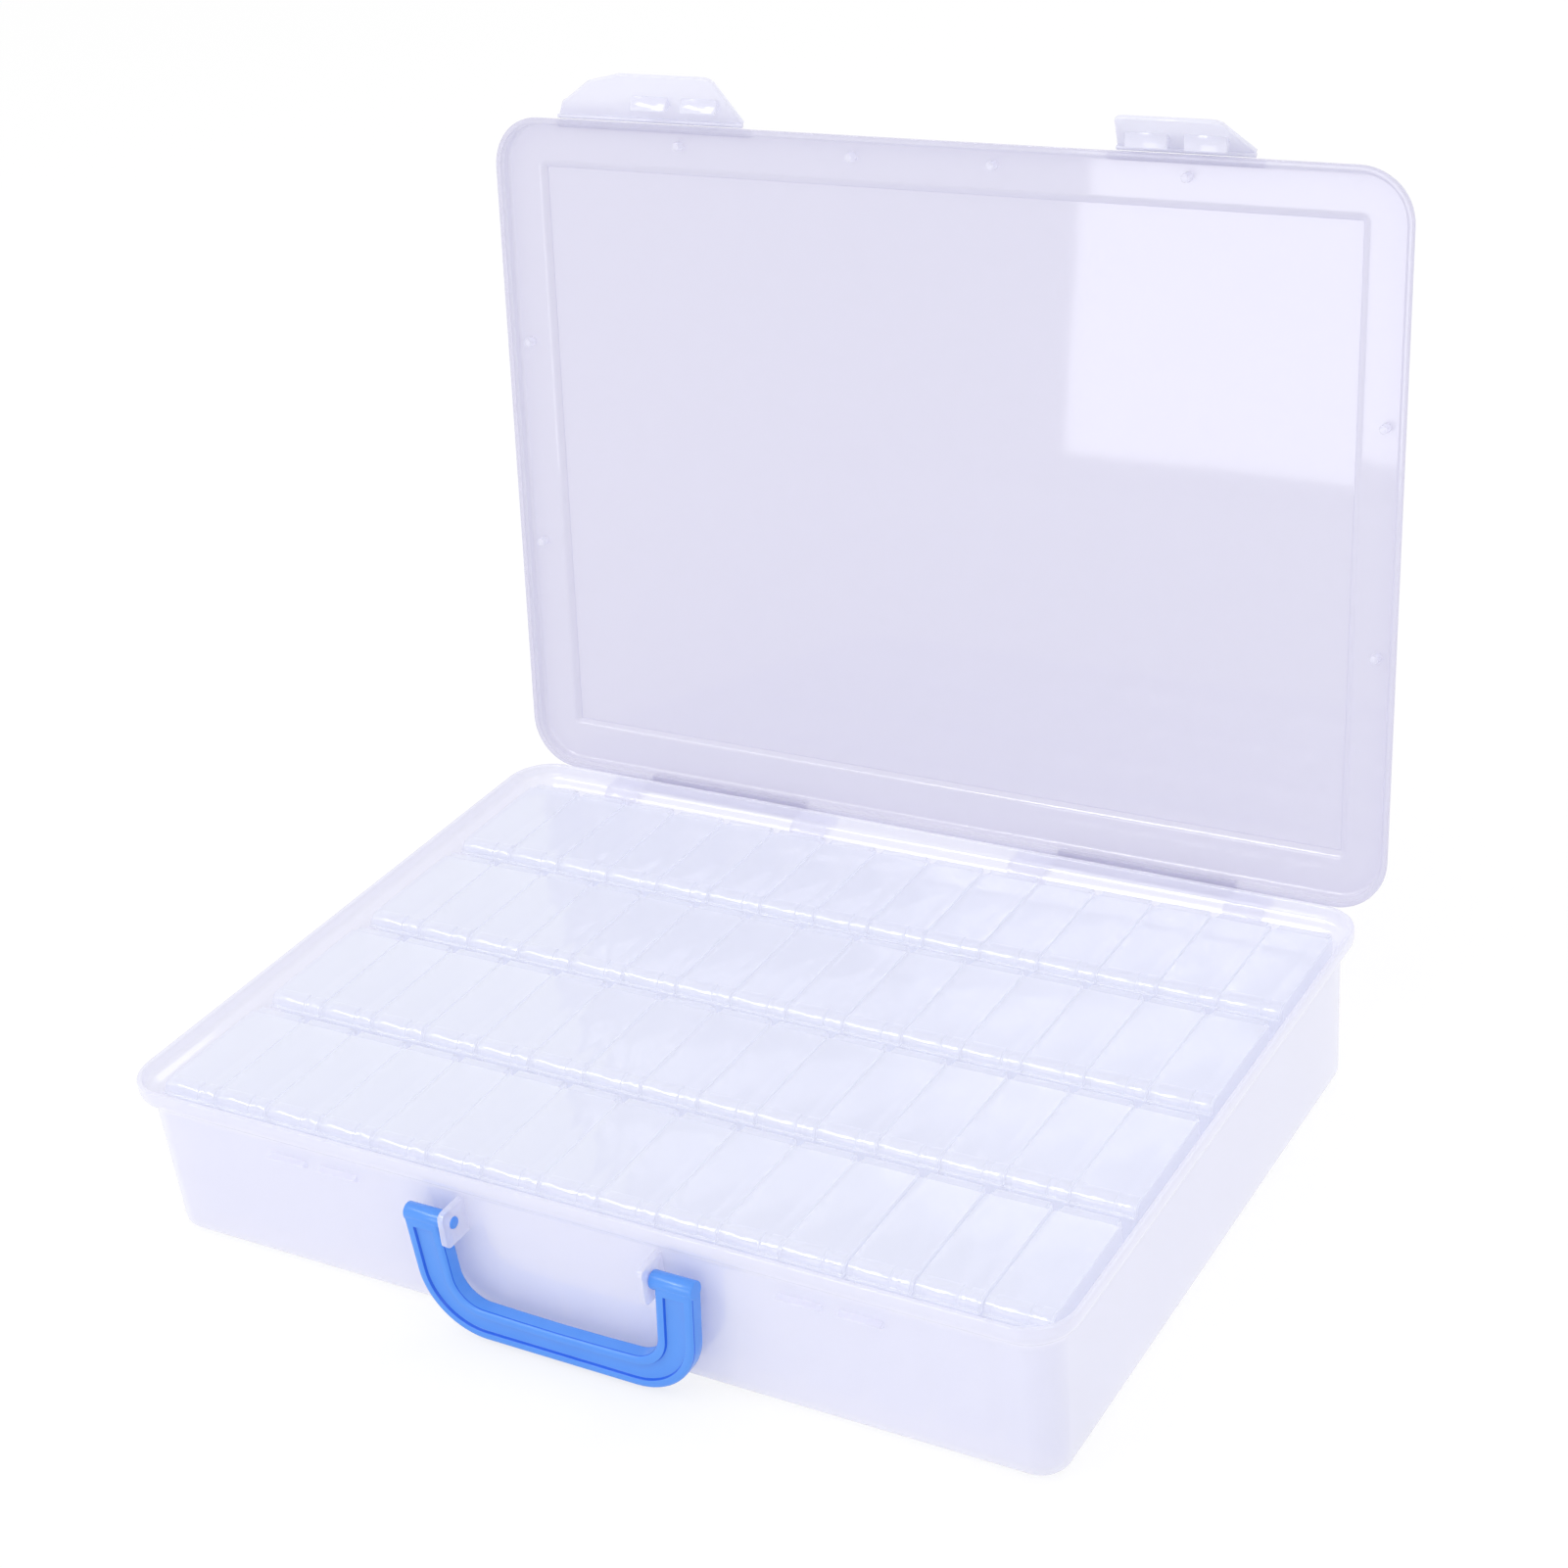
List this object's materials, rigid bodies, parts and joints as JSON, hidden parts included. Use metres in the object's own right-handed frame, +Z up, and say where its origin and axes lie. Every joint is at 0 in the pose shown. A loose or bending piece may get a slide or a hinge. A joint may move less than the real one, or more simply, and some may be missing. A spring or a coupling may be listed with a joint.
{
  "type": "bead storage box",
  "caption": "Shallow hinged case with a fold-down carry handle and two snap latches, packed with rows of small flip-lid containers for beads.",
  "frame": {"origin": "centre of the case floor's underside", "axes": "+Z up, +X to the viewer's right seen from the handle side, +Y from the handle side to the lid's hinge"},
  "size_m": [0.3562, 0.3053, 0.3303],
  "materials": {
    "case": "translucent moulded polypropylene, smooth",
    "latch": "translucent moulded polypropylene, smooth",
    "handle": "solid blue moulded polypropylene, semi-gloss",
    "container": "clear moulded styrene, polished",
    "container_lid": "clear moulded styrene, polished"
  },
  "bodies": {
    "case": {"case_base": "case"},
    "lid": {"case_lid": "case"},
    "left latch": {"latch_left": "latch"},
    "right latch": {"latch_right": "latch"},
    "handle": {"carry_handle": "handle"},
    "container 01": {"container_01": "container"},
    "container lid 01": {"container_lid_01": "container_lid"},
    "container 02": {"container_02": "container"},
    "container lid 02": {"container_lid_02": "container_lid"},
    "container 03": {"container_03": "container"},
    "container lid 03": {"container_lid_03": "container_lid"},
    "container 04": {"container_04": "container"},
    "container lid 04": {"container_lid_04": "container_lid"},
    "container 05": {"container_05": "container"},
    "container lid 05": {"container_lid_05": "container_lid"},
    "container 06": {"container_06": "container"},
    "container lid 06": {"container_lid_06": "container_lid"},
    "container 07": {"container_07": "container"},
    "container lid 07": {"container_lid_07": "container_lid"},
    "container 08": {"container_08": "container"},
    "container lid 08": {"container_lid_08": "container_lid"},
    "container 09": {"container_09": "container"},
    "container lid 09": {"container_lid_09": "container_lid"},
    "container 10": {"container_10": "container"},
    "container lid 10": {"container_lid_10": "container_lid"},
    "container 11": {"container_11": "container"},
    "container lid 11": {"container_lid_11": "container_lid"},
    "container 12": {"container_12": "container"},
    "container lid 12": {"container_lid_12": "container_lid"},
    "container 13": {"container_13": "container"},
    "container lid 13": {"container_lid_13": "container_lid"},
    "container 14": {"container_14": "container"},
    "container lid 14": {"container_lid_14": "container_lid"},
    "container 15": {"container_15": "container"},
    "container lid 15": {"container_lid_15": "container_lid"},
    "row 2 containers": {"row_2_containers": "container"},
    "row 2 lids": {"row_2_lids": "container_lid"},
    "row 3 containers": {"row_3_containers": "container"},
    "row 3 lids": {"row_3_lids": "container_lid"},
    "row 4 containers": {"row_4_containers": "container"},
    "row 4 lids": {"row_4_lids": "container_lid"}
  },
  "joints": [
    {"name": "case_lid_hinge", "type": "hinge", "parent": "case", "child": "lid", "pos_m": [0, 0.1305, 0.0546], "axis": [-1, 0, 0], "range_deg": [-97.3, 0]},
    {"name": "left_latch_hinge", "type": "hinge", "parent": "lid", "child": "left latch", "pos_m": [-0.0975, 0.171, 0.31093], "axis": [-1, 0, 0], "range_deg": [-56, 74]},
    {"name": "right_latch_hinge", "type": "hinge", "parent": "lid", "child": "right latch", "pos_m": [0.0975, 0.171, 0.31093], "axis": [-1, 0, 0], "range_deg": [-35, 95]},
    {"name": "handle_hinge", "type": "hinge", "parent": "case", "child": "handle", "pos_m": [0, -0.1272, 0.044], "axis": [-1, 0, 0], "range_deg": [-3, 130]},
    {"name": "container_01_lift", "type": "slide", "parent": "case", "child": "container 01", "axis": [0, 0, 1], "range_m": [0, 0.065]},
    {"name": "container_01_lid_hinge", "type": "hinge", "parent": "container 01", "child": "container lid 01", "pos_m": [-0.15575, -0.0619, 0.0542], "axis": [-1, 0, 0], "range_deg": [0, 100]},
    {"name": "container_02_lift", "type": "slide", "parent": "case", "child": "container 02", "axis": [0, 0, 1], "range_m": [0, 0.065]},
    {"name": "container_02_lid_hinge", "type": "hinge", "parent": "container 02", "child": "container lid 02", "pos_m": [-0.13365, -0.0619, 0.0542], "axis": [-1, 0, 0], "range_deg": [0, 100]},
    {"name": "container_03_lift", "type": "slide", "parent": "case", "child": "container 03", "axis": [0, 0, 1], "range_m": [0, 0.065]},
    {"name": "container_03_lid_hinge", "type": "hinge", "parent": "container 03", "child": "container lid 03", "pos_m": [-0.11155, -0.0619, 0.0542], "axis": [-1, 0, 0], "range_deg": [0, 100]},
    {"name": "container_04_lift", "type": "slide", "parent": "case", "child": "container 04", "axis": [0, 0, 1], "range_m": [0, 0.065]},
    {"name": "container_04_lid_hinge", "type": "hinge", "parent": "container 04", "child": "container lid 04", "pos_m": [-0.08945, -0.0619, 0.0542], "axis": [-1, 0, 0], "range_deg": [0, 100]},
    {"name": "container_05_lift", "type": "slide", "parent": "case", "child": "container 05", "axis": [0, 0, 1], "range_m": [0, 0.065]},
    {"name": "container_05_lid_hinge", "type": "hinge", "parent": "container 05", "child": "container lid 05", "pos_m": [-0.06735, -0.0619, 0.0542], "axis": [-1, 0, 0], "range_deg": [0, 100]},
    {"name": "container_06_lift", "type": "slide", "parent": "case", "child": "container 06", "axis": [0, 0, 1], "range_m": [0, 0.065]},
    {"name": "container_06_lid_hinge", "type": "hinge", "parent": "container 06", "child": "container lid 06", "pos_m": [-0.04525, -0.0619, 0.0542], "axis": [-1, 0, 0], "range_deg": [0, 100]},
    {"name": "container_07_lift", "type": "slide", "parent": "case", "child": "container 07", "axis": [0, 0, 1], "range_m": [0, 0.065]},
    {"name": "container_07_lid_hinge", "type": "hinge", "parent": "container 07", "child": "container lid 07", "pos_m": [-0.02315, -0.0619, 0.0542], "axis": [-1, 0, 0], "range_deg": [0, 100]},
    {"name": "container_08_lift", "type": "slide", "parent": "case", "child": "container 08", "axis": [0, 0, 1], "range_m": [0, 0.065]},
    {"name": "container_08_lid_hinge", "type": "hinge", "parent": "container 08", "child": "container lid 08", "pos_m": [-0.00105, -0.0619, 0.0542], "axis": [-1, 0, 0], "range_deg": [0, 100]},
    {"name": "container_09_lift", "type": "slide", "parent": "case", "child": "container 09", "axis": [0, 0, 1], "range_m": [0, 0.065]},
    {"name": "container_09_lid_hinge", "type": "hinge", "parent": "container 09", "child": "container lid 09", "pos_m": [0.02105, -0.0619, 0.0542], "axis": [-1, 0, 0], "range_deg": [0, 100]},
    {"name": "container_10_lift", "type": "slide", "parent": "case", "child": "container 10", "axis": [0, 0, 1], "range_m": [0, 0.065]},
    {"name": "container_10_lid_hinge", "type": "hinge", "parent": "container 10", "child": "container lid 10", "pos_m": [0.04315, -0.0619, 0.0542], "axis": [-1, 0, 0], "range_deg": [0, 100]},
    {"name": "container_11_lift", "type": "slide", "parent": "case", "child": "container 11", "axis": [0, 0, 1], "range_m": [0, 0.065]},
    {"name": "container_11_lid_hinge", "type": "hinge", "parent": "container 11", "child": "container lid 11", "pos_m": [0.06525, -0.0619, 0.0542], "axis": [-1, 0, 0], "range_deg": [0, 100]},
    {"name": "container_12_lift", "type": "slide", "parent": "case", "child": "container 12", "axis": [0, 0, 1], "range_m": [0, 0.065]},
    {"name": "container_12_lid_hinge", "type": "hinge", "parent": "container 12", "child": "container lid 12", "pos_m": [0.08735, -0.0619, 0.0542], "axis": [-1, 0, 0], "range_deg": [0, 100]},
    {"name": "container_13_lift", "type": "slide", "parent": "case", "child": "container 13", "axis": [0, 0, 1], "range_m": [0, 0.065]},
    {"name": "container_13_lid_hinge", "type": "hinge", "parent": "container 13", "child": "container lid 13", "pos_m": [0.11015, -0.0619, 0.0542], "axis": [-1, 0, 0], "range_deg": [0, 100]},
    {"name": "container_14_lift", "type": "slide", "parent": "case", "child": "container 14", "axis": [0, 0, 1], "range_m": [0, 0.065]},
    {"name": "container_14_lid_hinge", "type": "hinge", "parent": "container 14", "child": "container lid 14", "pos_m": [0.13295, -0.0619, 0.0542], "axis": [-1, 0, 0], "range_deg": [0, 100]},
    {"name": "container_15_lift", "type": "slide", "parent": "case", "child": "container 15", "axis": [0, 0, 1], "range_m": [0, 0.065]},
    {"name": "container_15_lid_hinge", "type": "hinge", "parent": "container 15", "child": "container lid 15", "pos_m": [0.15575, -0.0619, 0.0542], "axis": [-1, 0, 0], "range_deg": [0, 100]},
    {"name": "row_2_lift", "type": "slide", "parent": "case", "child": "row 2 containers", "axis": [0, 0, 1], "range_m": [0, 0.065]},
    {"name": "row_2_lids_hinge", "type": "hinge", "parent": "row 2 containers", "child": "row 2 lids", "pos_m": [0, -0.0032, 0.0542], "axis": [-1, 0, 0], "range_deg": [0, 100]},
    {"name": "row_3_lift", "type": "slide", "parent": "case", "child": "row 3 containers", "axis": [0, 0, 1], "range_m": [0, 0.065]},
    {"name": "row_3_lids_hinge", "type": "hinge", "parent": "row 3 containers", "child": "row 3 lids", "pos_m": [0, 0.0555, 0.0542], "axis": [-1, 0, 0], "range_deg": [0, 100]},
    {"name": "row_4_lift", "type": "slide", "parent": "case", "child": "row 4 containers", "axis": [0, 0, 1], "range_m": [0, 0.065]},
    {"name": "row_4_lids_hinge", "type": "hinge", "parent": "row 4 containers", "child": "row 4 lids", "pos_m": [0, 0.1142, 0.0542], "axis": [-1, 0, 0], "range_deg": [0, 100]}
  ]
}
